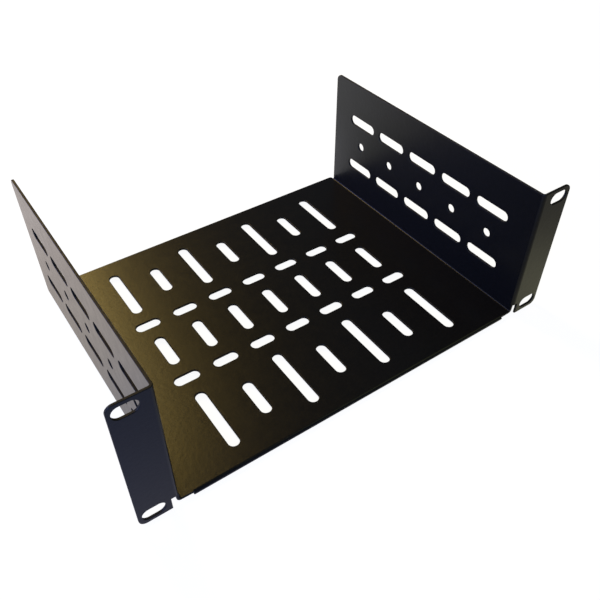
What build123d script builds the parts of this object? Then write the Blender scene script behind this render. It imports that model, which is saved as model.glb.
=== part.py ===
"""Two-unit rack shelf with side walls, folded from one punched steel sheet.

Millimetres. The origin is the centre of the four rack slots, on the front face
of the ears. X runs along the front, Y to the back and Z up.
"""
import os

from build123d import *

# Sheet, with the inner radius of its bends
sheet = 1.5
bend_radius = 0.8

# Rack ears: each reaches from the outer face of its wall to its free edge, and
# each slot's centre stands in from the ear's side and end edges
overall_width = 268.8
ear_width = 20.0
ear_height = 88.1
ear_corner_radius = 4.0
rack_slot_side_inset = 8.15
rack_slot_end_inset = 5.95
rack_slot_length = 12.3
rack_slot_width = 7.3

# Tray
wall_depth = 180.9
wall_corner_radius = 4.0
floor_rise = 3.2
floor_overhang = 3.2
floor_corner_radius = 2.0
front_setback = 0.8

# Notch that frees each ear from the fold between the wall and the floor
relief_height = 4.7
relief_margin = 1.95

# Hem along the front edge of the floor, between a plain tab at each corner that
# is measured from the outer face of the wall
tab_width = 8.8
hem_return = 8.0
hem_gap = 0.2

# Slots in the floor
floor_pitch = 25.0
floor_columns = 7
floor_slot_width = 6.5
long_slot_length = 41.3
short_slot_length = 24.5
cross_slot_length = 15.5
long_row_offset = 58.9
cross_row_offset = 25.2

# Slots and holes in the walls, with the height of the holes above the floor
wall_pitch = 30.0
wall_columns = 5
wall_hole_height = 41.35
wall_slot_length = 24.4
wall_slot_width = 6.6
wall_slot_row_spacing = 34.6
wall_hole_diameter = 5.6

# Places that follow from the sizes above
ear_bottom = -ear_height / 2
ear_top = ear_height / 2
ear_outer = overall_width / 2
rack_slot_spacing_x = overall_width - 2 * rack_slot_side_inset
rack_slot_spacing_z = ear_height - 2 * rack_slot_end_inset
floor_top = ear_bottom + floor_rise
floor_middle = floor_top - sheet / 2
wall_outer = ear_outer - ear_width
wall_inner = wall_outer - sheet
wall_middle = wall_outer - sheet / 2
relief_top = floor_top + relief_height
ear_inner = wall_outer + bend_radius + relief_margin
pattern_y = (sheet + wall_depth) / 2
middle_radius = bend_radius + sheet / 2
hem_width = 2 * (wall_outer - tab_width)
hem_middle_radius = (hem_gap + sheet) / 2
hem_fold_y = hem_gap / 2 + sheet
long_columns = (floor_columns + 1) // 2
short_columns = floor_columns // 2

with BuildPart() as shelf:
    # Floor with the lowest strip of both walls, up to the notches
    with BuildSketch(Plane.XZ.offset(-front_setback)) as tray_section:
        with BuildLine():
            FilletPolyline(
                (-wall_middle, relief_top),
                (-wall_middle, floor_middle),
                (wall_middle, floor_middle),
                (wall_middle, relief_top),
                radius=middle_radius,
            )
        trace(line_width=sheet)
    extrude(amount=front_setback - wall_depth)

    # Walls above the notches, folded outwards into the ears
    with BuildSketch(Plane.XY.offset(relief_top)) as wall_section:
        with BuildLine():
            FilletPolyline(
                (wall_middle, wall_depth),
                (wall_middle, sheet / 2),
                (ear_outer, sheet / 2),
                radius=middle_radius,
            )
        trace(line_width=sheet)
        mirror(about=Plane.YZ)
    extrude(amount=ear_top - relief_top)

    # Lower end of each ear, outside its notch
    with BuildSketch(Plane.XY.offset(ear_bottom)) as ear_foot:
        with GridLocations(ear_outer + ear_inner, 0, 2, 1):
            Rectangle(ear_outer - ear_inner, sheet, align=(Align.CENTER, Align.MIN))
    extrude(amount=relief_top - ear_bottom)

    # Strip of the floor that stands out behind the walls
    with BuildSketch(Plane.XY.offset(floor_top)) as overhang:
        with Locations((0, wall_depth)):
            Rectangle(2 * wall_inner, floor_overhang, align=(Align.CENTER, Align.MIN))
    extrude(amount=-sheet)

    # Front edge of the floor, folded back under itself between the corner tabs
    with BuildSketch(Plane.XY.offset(floor_top)) as hem_clearance:
        Rectangle(hem_width, hem_fold_y, align=(Align.CENTER, Align.MIN))
    extrude(amount=-sheet, mode=Mode.SUBTRACT)
    with BuildSketch(Plane.YZ) as hem_section:
        with BuildLine():
            upper_run = Line((hem_return, floor_middle), (hem_fold_y, floor_middle))
            fold = JernArc(upper_run @ 1, upper_run % 1, hem_middle_radius, 180)
            Line(fold @ 1, (hem_return, (fold @ 1).Y))
        trace(line_width=sheet)
    extrude(amount=hem_width / 2, both=True)

    # Floor slots: long and short ones in turn in the outer rows, short ones in
    # the middle row, and rows of cross slots between them
    with BuildSketch(Plane.XY.offset(floor_top)) as floor_slots:
        with Locations((0, pattern_y)):
            with GridLocations(2 * floor_pitch, 2 * long_row_offset, long_columns, 2):
                SlotOverall(long_slot_length, floor_slot_width, rotation=90)
            with GridLocations(2 * floor_pitch, 2 * long_row_offset, short_columns, 2):
                SlotOverall(short_slot_length, floor_slot_width, rotation=90)
            with GridLocations(floor_pitch, 0, floor_columns, 1):
                SlotOverall(short_slot_length, floor_slot_width, rotation=90)
            with GridLocations(floor_pitch, 2 * cross_row_offset, floor_columns, 2):
                SlotOverall(cross_slot_length, floor_slot_width)
    extrude(amount=-sheet, mode=Mode.SUBTRACT)

    # Two rows of slots through both walls, with a row of holes between them
    with BuildSketch(Plane.YZ) as wall_openings:
        with Locations((pattern_y, floor_top + wall_hole_height)):
            with GridLocations(wall_pitch, wall_slot_row_spacing, wall_columns, 2):
                SlotOverall(wall_slot_length, wall_slot_width)
            with GridLocations(wall_pitch, 0, wall_columns, 1):
                Circle(wall_hole_diameter / 2)
    extrude(amount=wall_outer, both=True, mode=Mode.SUBTRACT)

    # Rack slots through the ears
    with BuildSketch(Plane.XZ) as rack_slots:
        with GridLocations(rack_slot_spacing_x, rack_slot_spacing_z, 2, 2):
            SlotOverall(rack_slot_length, rack_slot_width)
    extrude(amount=-sheet, mode=Mode.SUBTRACT)

    # Rounded corners of the blank
    ear_corners = shelf.edges().filter_by(Axis.Y).group_by(Axis.X)
    fillet(ear_corners[0] + ear_corners[-1], ear_corner_radius)
    wall_corners = shelf.edges().filter_by(Axis.X).group_by(Axis.Z)[-1].group_by(Axis.Y)[-1]
    fillet(wall_corners, wall_corner_radius)
    floor_corners = shelf.edges().filter_by(Axis.Z).group_by(Axis.Y)[-1]
    fillet(floor_corners, floor_corner_radius)

shelf.part.label = "shelf"
os.makedirs("parts", exist_ok=True)
export_step(shelf.part, "parts/shelf.step")
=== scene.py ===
"""Looks of the rack shelf: black powder coat, studio light and the photograph's camera. Metres."""
import math

import bmesh
import bpy
from mathutils import Matrix, Vector


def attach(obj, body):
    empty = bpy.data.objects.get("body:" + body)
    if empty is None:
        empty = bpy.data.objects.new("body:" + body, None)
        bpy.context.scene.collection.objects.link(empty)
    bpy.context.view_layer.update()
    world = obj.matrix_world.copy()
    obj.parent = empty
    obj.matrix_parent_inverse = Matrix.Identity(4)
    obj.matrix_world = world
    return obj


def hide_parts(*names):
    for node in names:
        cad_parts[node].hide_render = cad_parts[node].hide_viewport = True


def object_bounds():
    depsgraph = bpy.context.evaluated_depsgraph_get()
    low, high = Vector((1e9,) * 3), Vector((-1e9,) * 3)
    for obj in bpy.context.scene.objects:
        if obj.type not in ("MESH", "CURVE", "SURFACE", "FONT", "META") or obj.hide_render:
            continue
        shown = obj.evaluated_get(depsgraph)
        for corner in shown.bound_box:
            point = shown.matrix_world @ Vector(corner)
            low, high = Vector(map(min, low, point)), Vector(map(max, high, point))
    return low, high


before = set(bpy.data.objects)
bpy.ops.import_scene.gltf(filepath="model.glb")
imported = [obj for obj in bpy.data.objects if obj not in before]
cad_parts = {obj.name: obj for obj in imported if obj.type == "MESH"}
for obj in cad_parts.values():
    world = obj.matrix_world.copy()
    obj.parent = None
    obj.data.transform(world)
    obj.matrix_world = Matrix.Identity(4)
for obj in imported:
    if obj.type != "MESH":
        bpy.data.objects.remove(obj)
cad_low, cad_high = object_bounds()

# Camera: its place in the shelf's frame, its angles in degrees and its lens in millimetres
CAMERA_PLACE = Vector((-0.1619, -0.17065, 0.24749))
CAMERA_AZIMUTH = 33.51
CAMERA_ELEVATION = 42.899
CAMERA_ROLL = -0.801
CAMERA_LENS = 40.352
CAMERA_SHIFT = (0.01665, -0.00499)
SENSOR_WIDTH = 36.0

# Rounding that the coat gives the cut edges of the sheet, and its number of steps
EDGE_RADIUS = 0.00035
EDGE_STEPS = 3

# A cut face stays sharp where an edge across it is shorter than this many radii
SHARP_WIDTH = 2.5

# Decimals of a metre to which the corners of the CAD mesh are compared
WELD_DECIMALS = 7

# Cosines above which normals count as the same, and faces as lying in one plane
SAME_NORMAL = 0.99
SAME_PLANE = math.cos(math.radians(0.2))

# Face value of the rounded sheet: 0 on its skins, 1 on its cut faces and between them on the rounding
CUT_SHARE = "cut_share"

# Powder coat: its two shades of black, and the range of roughness of its skins and its cut faces
COAT_IOR = 1.3
COAT_DARK = (0.0030, 0.0030, 0.0034, 1)
COAT_LIGHT = (0.0042, 0.0042, 0.0048, 1)
SKIN_ROUGHNESS = (0.28, 0.32)
CUT_ROUGHNESS = (0.58, 0.68)

# Sizes of the coat's patterns, and heights of its orange peel and its grain
SHADE_SIZE = 0.0015
SKIN_SHEEN_SIZE = 0.006
CUT_SHEEN_SIZE = 0.003
PEEL_SIZE = 0.0022
PEEL_HEIGHT = 0.000046
GRAIN_SIZE = 0.0006
GRAIN_HEIGHT = 0.000012

# Range that holds most values of a noise texture
NOISE_RANGE = (0.3, 0.7)

# Paper under the shelf: how white it is as it lights the shelf, and how the camera sees it
PAPER_GAP = 0.0002
PAPER_REACH = 3.0
PAPER_WHITENESS = 0.7
SEEN_WHITENESS = 0.12
SEEN_GLOW = 0.95

# What the coat reflects of the paper, which differs from what the camera sees: an even glow
MIRRORED_GLOW = 0.38
MIRRORED_COLOUR = (1, 0.95, 0.75)

# Painted reflections: coloured pools of glow added to that glow, which only the coat's reflections
# see: x, y, radius, brightness at the centre, colour
PAINTED_REFLECTION_POOLS = [
    (-0.20, -0.12, 0.28, 0.80, (0.14, 0.28, 1)),
    (0.15, -0.01, 0.09, 0.37, (1, 1, 0.6)),
    (-0.25, 0.14, 0.28, 0.70, (1, 0.86, 0.85)),
    (-0.13, 0.11, 0.11, 0.14, (1, 0.95, 0.98)),
    (-0.20, 0.30, 0.25, 0.82, (1, 0.86, 0.88)),
    (0.02, 0.38, 0.25, 1.10, (0.96, 0.98, 1)),
    (0.19, 0.27, 0.15, 6.80, (0.86, 0.87, 1)),
]

# Distance of the area lamps from the shelf's middle
LAMP_DISTANCE = 1.2

# Area lamps: name, azimuth and elevation in degrees, width, height, brightness, colour
LAMPS = [
    ("warm_back", -3, 42, 0.30, 0.80, 11.2, (1, 0.66, 0.14)),
    ("warm_core", -2, 44, 0.12, 0.50, 7.5, (1, 0.93, 0.57)),
    ("warm_wide", 6, 46, 0.50, 0.70, 0.3, (1, 0.67, 0.20)),
    ("cool_left", -60, 24, 0.95, 0.60, 4.6, (0.56, 0.62, 1)),
    ("cool_low", -38, 12, 0.50, 0.25, 8.0, (0.18, 0.22, 1)),
    ("cool_front", -130, 20, 0.80, 0.50, 9.7, (0.23, 0.40, 1)),
    ("fill_right", 120, 50, 0.80, 0.80, 0.8, (0.98, 1, 0.38)),
]

# The room beyond the paper, as it lights the shelf
ROOM_COLOUR = (0.08, 0.10, 0.13)
WHITE = (1, 1, 1)


def direction(azimuth, elevation):
    """Unit vector at an azimuth from +Y towards +X and an elevation, in degrees."""
    a, e = math.radians(azimuth), math.radians(elevation)
    return Vector((math.sin(a) * math.cos(e), math.cos(a) * math.cos(e), math.sin(e)))


def make_camera():
    """The photograph's camera, which looks down onto the shelf."""
    data = bpy.data.cameras.new("camera")
    data.sensor_width = SENSOR_WIDTH
    data.lens = CAMERA_LENS
    data.shift_x, data.shift_y = CAMERA_SHIFT
    camera = bpy.data.objects.new("camera", data)
    bpy.context.scene.collection.objects.link(camera)
    look = direction(CAMERA_AZIMUTH, -CAMERA_ELEVATION)
    aim = look.to_track_quat("-Z", "Y").to_matrix()
    roll = Matrix.Rotation(math.radians(CAMERA_ROLL), 3, "Z")
    camera.matrix_world = Matrix.Translation(CAMERA_PLACE) @ (aim @ roll).to_4x4()
    bpy.context.scene.camera = camera


def edges_of(corners):
    """Pairs of neighbouring corners round a face."""
    return zip(corners, corners[1:] + corners[:1])


class SheetSurface:
    """Triangles of a folded sheet as welded corners, split into its two skins and its cut faces."""

    def __init__(self, mesh):
        self.places, self.faces, self.normals = [], [], []
        self.read_triangles(mesh)
        self.faces_at = {}
        for face, corners in enumerate(self.faces):
            for edge in edges_of(corners):
                self.faces_at.setdefault(frozenset(edge), []).append(face)
        surfaces = self.groups(range(len(self.faces)), self.is_smooth)
        surfaces.sort(key=self.area)
        self.skins = set(surfaces[-1]) | set(surfaces[-2])

    def read_triangles(self, mesh):
        """Corners in one place become one corner, and triangles without an area are left out."""
        numbers = {}
        for polygon in mesh.polygons:
            corners, normals = [], []
            for loop in polygon.loop_indices:
                place = mesh.vertices[mesh.loops[loop].vertex_index].co
                key = tuple(round(value, WELD_DECIMALS) for value in place)
                if key not in numbers:
                    numbers[key] = len(self.places)
                    self.places.append(place.copy())
                corners.append(numbers[key])
                normals.append(mesh.corner_normals[loop].vector.copy())
            if len(set(corners)) == 3:
                self.faces.append(corners)
                self.normals.append(normals)

    def cross(self, face):
        """Normal of a triangle, with twice its area as its length."""
        a, b, c = (self.places[corner] for corner in self.faces[face])
        return (b - a).cross(c - a)

    def area(self, group):
        return sum(self.cross(face).length for face in group) / 2

    def normal_at(self, face, corner):
        return self.normals[face][self.faces[face].index(corner)]

    def is_smooth(self, face, other, edge):
        """Whether two faces have the same normals along the edge that they share."""
        cosines = [self.normal_at(face, corner).dot(self.normal_at(other, corner)) for corner in edge]
        return min(cosines) > SAME_NORMAL

    def is_flat(self, face, other, _edge):
        """Whether two faces lie in one plane."""
        return self.cross(face).normalized().dot(self.cross(other).normalized()) > SAME_PLANE

    def groups(self, faces, is_joined):
        """Groups of faces that join each other over shared edges."""
        left, groups = set(faces), []
        for start in faces:
            if start not in left:
                continue
            left.remove(start)
            group, waiting = [], [start]
            while waiting:
                face = waiting.pop()
                group.append(face)
                for edge in edges_of(self.faces[face]):
                    for other in self.faces_at[frozenset(edge)]:
                        if other in left and is_joined(face, other, edge):
                            left.remove(other)
                            waiting.append(other)
            groups.append(group)
        return groups


class RoundedSheet:
    """Mesh of a folded sheet whose skins turn into its cut faces over a small radius."""

    def __init__(self, surface, radius, steps):
        self.surface, self.radius, self.steps = surface, radius, steps
        self.mesh, self.corner_normals = bmesh.new(), {}
        self.cut_share = self.mesh.faces.layers.float.new(CUT_SHARE)
        self.find_rims()
        self.arcs = [self.make_arc(corner, place) for corner, place in enumerate(surface.places)]
        for edge, skin, cut in self.rims:
            self.add_rounding(edge, skin, cut)
        for face, corners in enumerate(surface.faces):
            if face not in surface.skins:
                self.add_face([self.arcs[corner][-1] for corner in corners], surface.normals[face], 1)
        for group in surface.groups(sorted(surface.skins), surface.is_flat):
            self.add_skin(group)

    def find_rims(self):
        """Edges between a skin and a cut face, with the normals and the sharp corners along them."""
        surface = self.surface
        self.rims, self.sharp, self.skin_normal, self.cut_normals = [], set(), {}, {}
        for edge, faces in surface.faces_at.items():
            skin_faces = [face for face in faces if face in surface.skins]
            cut_faces = [face for face in faces if face not in surface.skins]
            a, b = (surface.places[corner] for corner in edge)
            if len(cut_faces) == 2 and (a - b).length < SHARP_WIDTH * self.radius:
                self.sharp.update(edge)
            if len(cut_faces) != 1:
                continue
            skin, cut = skin_faces[0], cut_faces[0]
            self.rims.append((edge, skin, cut))
            # A cut face that rises above the skin meets it in an inner corner, which stays sharp
            middle = sum((surface.places[corner] for corner in surface.faces[cut]), Vector()) / 3
            if (middle - a).dot(surface.cross(skin)) > 0:
                self.sharp.update(edge)
            for corner in edge:
                self.skin_normal[corner] = surface.normal_at(skin, corner)
                normal = surface.normal_at(cut, corner)
                found = self.cut_normals.setdefault(corner, [])
                if all(normal.dot(other) < SAME_NORMAL for other in found):
                    found.append(normal)

    def angle(self, step):
        return math.pi / 2 * step / self.steps

    def make_arc(self, corner, place):
        """Points from the skin to the cut face at a corner of a rim, or the corner itself."""
        if corner not in self.skin_normal or corner in self.sharp:
            return [self.mesh.verts.new(place)] * (self.steps + 1)
        up, found = self.skin_normal[corner], self.cut_normals[corner]
        out = sum(found, Vector())
        if len(found) > 1:
            # Where two cut faces meet, the arc's centre stands one radius in from both
            out = out / (1 + found[0].dot(found[1]))
        centre = place - self.radius * (up + out)
        return [
            self.mesh.verts.new(centre + self.radius * (math.cos(angle) * up + math.sin(angle) * out))
            for angle in map(self.angle, range(self.steps + 1))
        ]

    def add_face(self, vertices, normals, cut_share=0):
        """Face with a normal at each corner, where three or more of its vertices differ."""
        corners = [
            (vertex, normals[k])
            for k, vertex in enumerate(vertices)
            if vertex not in vertices[:k]
        ]
        if len(corners) > 2:
            face = self.mesh.faces.new([vertex for vertex, _ in corners])
            self.corner_normals[face] = [normal for _, normal in corners]
            face[self.cut_share] = cut_share

    def add_rounding(self, edge, skin, cut):
        """Strips along a rim, whose normals turn from the skin's to the cut face's."""
        surface = self.surface
        a, b = next(pair for pair in edges_of(surface.faces[skin]) if frozenset(pair) == edge)
        for step in range(self.steps):
            ring = [(b, step), (a, step), (a, step + 1), (b, step + 1)]
            vertices = [self.arcs[corner][k] for corner, k in ring]
            normals = [
                math.cos(self.angle(k)) * self.skin_normal[corner]
                + math.sin(self.angle(k)) * surface.normal_at(cut, corner)
                for corner, k in ring
            ]
            self.add_face(vertices, normals, (step + 1) / (self.steps + 1))

    def add_skin(self, group):
        """One facet of a fold as it was, or a flat part filled anew inside its rounded rim."""
        surface = self.surface
        if len(group) < 3:
            for face in group:
                vertices = [self.arcs[corner][0] for corner in surface.faces[face]]
                self.add_face(vertices, surface.normals[face])
            return
        members, outline = set(group), []
        for face in group:
            for edge in edges_of(surface.faces[face]):
                if any(other not in members for other in surface.faces_at[frozenset(edge)]):
                    ends = [self.arcs[corner][0] for corner in edge]
                    outline.append(self.mesh.edges.get(ends) or self.mesh.edges.new(ends))
        up = surface.cross(group[0]).normalized()
        filled = bmesh.ops.triangle_fill(self.mesh, use_beauty=True, edges=outline, normal=up)
        for face in filled["geom"]:
            if isinstance(face, bmesh.types.BMFace):
                self.corner_normals[face] = [up] * len(face.verts)

    def to_object(self, name):
        """Object with the finished mesh and its own normals."""
        normals = [normal for face in self.mesh.faces for normal in self.corner_normals[face]]
        data = bpy.data.meshes.new(name)
        self.mesh.to_mesh(data)
        self.mesh.free()
        data.shade_smooth()
        data.normals_split_custom_set(normals)
        piece = bpy.data.objects.new(name, data)
        bpy.context.scene.collection.objects.link(piece)
        return piece


def make_powder_coat():
    """Satin black coat: fine grain on a slight orange peel, with patches of more and less sheen."""
    material = bpy.data.materials.new("powder_coat")
    material.use_nodes = True
    nodes, links = material.node_tree.nodes, material.node_tree.links
    shader = nodes["Principled BSDF"]
    shader.inputs["IOR"].default_value = COAT_IOR
    place = nodes.new("ShaderNodeTexCoord").outputs["Object"]

    def noise(size, detail):
        node = nodes.new("ShaderNodeTexNoise")
        node.inputs["Scale"].default_value = 1 / size
        node.inputs["Detail"].default_value = detail
        links.new(place, node.inputs["Vector"])
        return node.outputs["Fac"]

    def span(source, low, high):
        node = nodes.new("ShaderNodeMapRange")
        node.inputs["From Min"].default_value = NOISE_RANGE[0]
        node.inputs["From Max"].default_value = NOISE_RANGE[1]
        node.inputs["To Min"].default_value = low
        node.inputs["To Max"].default_value = high
        links.new(source, node.inputs["Value"])
        return node.outputs["Result"]

    def bump(source, height, below=None):
        node = nodes.new("ShaderNodeBump")
        node.inputs["Distance"].default_value = height
        links.new(source, node.inputs["Height"])
        if below:
            links.new(below, node.inputs["Normal"])
        return node.outputs["Normal"]

    shade = nodes.new("ShaderNodeMix")
    shade.data_type = "RGBA"
    shade.inputs["A"].default_value = COAT_DARK
    shade.inputs["B"].default_value = COAT_LIGHT
    links.new(span(noise(SHADE_SIZE, detail=3), 0, 1), shade.inputs["Factor"])
    links.new(shade.outputs["Result"], shader.inputs["Base Color"])

    cut = nodes.new("ShaderNodeAttribute")
    cut.attribute_name = CUT_SHARE
    rough = nodes.new("ShaderNodeMix")
    links.new(cut.outputs["Fac"], rough.inputs["Factor"])
    links.new(span(noise(SKIN_SHEEN_SIZE, detail=4), *SKIN_ROUGHNESS), rough.inputs["A"])
    links.new(span(noise(CUT_SHEEN_SIZE, detail=3), *CUT_ROUGHNESS), rough.inputs["B"])
    links.new(rough.outputs["Result"], shader.inputs["Roughness"])

    peel = bump(noise(PEEL_SIZE, detail=2), PEEL_HEIGHT)
    grain = bump(noise(GRAIN_SIZE, detail=2), GRAIN_HEIGHT, peel)
    links.new(grain, shader.inputs["Normal"])
    return material


def make_paper():
    """Paper that is white to the camera alone. The coat reflects a dimmer glow with painted coloured
    pools of light, which the camera doesn't see.
    """
    mesh = bpy.data.meshes.new("studio_floor")
    level = cad_low.z - PAPER_GAP
    signs = [(-1, -1), (1, -1), (1, 1), (-1, 1)]
    corners = [(x * PAPER_REACH, y * PAPER_REACH, level) for x, y in signs]
    mesh.from_pydata(corners, [], [(0, 1, 2, 3)])
    floor = bpy.data.objects.new("studio_floor", mesh)
    bpy.context.scene.collection.objects.link(floor)
    material = bpy.data.materials.new("studio_floor")
    material.use_nodes = True
    # The glow shows only to the camera and in the coat, so it isn't sampled as a lamp
    material.cycles.emission_sampling = "NONE"
    nodes, links = material.node_tree.nodes, material.node_tree.links
    nodes.clear()
    place = nodes.new("ShaderNodeTexCoord").outputs["Object"]

    def diffuse(whiteness):
        node = nodes.new("ShaderNodeBsdfDiffuse")
        node.inputs["Color"].default_value = (whiteness, whiteness, whiteness, 1)
        return node.outputs["BSDF"]

    def glow(colour, strength, faded=None):
        node = nodes.new("ShaderNodeEmission")
        node.inputs["Color"].default_value = (*colour, 1)
        node.inputs["Strength"].default_value = strength
        if faded:
            links.new(faded, node.inputs["Strength"])
        return node.outputs["Emission"]

    def add(first, second):
        node = nodes.new("ShaderNodeAddShader")
        links.new(first, node.inputs[0])
        links.new(second, node.inputs[1])
        return node.outputs["Shader"]

    def choose(factor, first, second):
        node = nodes.new("ShaderNodeMixShader")
        links.new(factor, node.inputs["Fac"])
        links.new(first, node.inputs[1])
        links.new(second, node.inputs[2])
        return node.outputs["Shader"]

    def painted_reflection_pool(x, y, radius, strength, colour):
        """Painted reflection: glow that fades from a centre on the paper to nothing at the radius."""
        away = nodes.new("ShaderNodeVectorMath")
        away.operation = "DISTANCE"
        away.inputs[1].default_value = (x, y, level)
        links.new(place, away.inputs[0])
        fade = nodes.new("ShaderNodeMapRange")
        fade.interpolation_type = "SMOOTHSTEP"
        fade.inputs["From Max"].default_value = radius
        fade.inputs["To Min"].default_value = strength
        fade.inputs["To Max"].default_value = 0
        links.new(away.outputs["Value"], fade.inputs["Value"])
        return glow(colour, strength, fade.outputs["Result"])

    # Painted reflections: the dimmer glow and its coloured pools, which only glossy rays see, so the
    # coat shows sheens that no lamp makes
    mirrored = glow(MIRRORED_COLOUR, MIRRORED_GLOW)
    for values in PAINTED_REFLECTION_POOLS:
        mirrored = add(mirrored, painted_reflection_pool(*values))
    path = nodes.new("ShaderNodeLightPath").outputs
    seen = add(diffuse(SEEN_WHITENESS), glow(WHITE, SEEN_GLOW))
    shader = choose(path["Is Glossy Ray"], diffuse(PAPER_WHITENESS), mirrored)
    shader = choose(path["Is Camera Ray"], shader, seen)
    links.new(shader, nodes.new("ShaderNodeOutputMaterial").inputs["Surface"])
    mesh.materials.append(material)


def make_room():
    """Room that is white to the camera alone, and a faint bluish light to the shelf and its coat."""
    world = bpy.data.worlds.new("studio")
    world.use_nodes = True
    nodes, links = world.node_tree.nodes, world.node_tree.links
    path = nodes.new("ShaderNodeLightPath")
    mix = nodes.new("ShaderNodeMix")
    mix.data_type = "RGBA"
    mix.inputs["A"].default_value = (*ROOM_COLOUR, 1)
    mix.inputs["B"].default_value = (*WHITE, 1)
    links.new(path.outputs["Is Camera Ray"], mix.inputs["Factor"])
    links.new(mix.outputs["Result"], nodes["Background"].inputs["Color"])
    bpy.context.scene.world = world


def make_lamp(name, azimuth, elevation, width, height, brightness, colour):
    """Area lamp of an even brightness on a sphere round the shelf that faces the shelf's middle."""
    data = bpy.data.lights.new(name, "AREA")
    data.shape = "RECTANGLE"
    data.size, data.size_y = width, height
    data.energy = math.pi * width * height * brightness
    data.color = colour
    lamp = bpy.data.objects.new(name, data)
    bpy.context.scene.collection.objects.link(lamp)
    middle = (cad_low + cad_high) / 2
    towards = direction(azimuth, elevation)
    aim = (-towards).to_track_quat("-Z", "Y").to_matrix().to_4x4()
    lamp.matrix_world = Matrix.Translation(middle + towards * LAMP_DISTANCE) @ aim


make_camera()
make_paper()
make_room()
for values in LAMPS:
    make_lamp(*values)
coat = make_powder_coat()
surface = SheetSurface(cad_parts["shelf"].data)
sheet = RoundedSheet(surface, EDGE_RADIUS, EDGE_STEPS).to_object("folded_sheet")
sheet.data.materials.append(coat)
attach(sheet, "root")
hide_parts("shelf")
bpy.context.scene.view_settings.view_transform = "Standard"
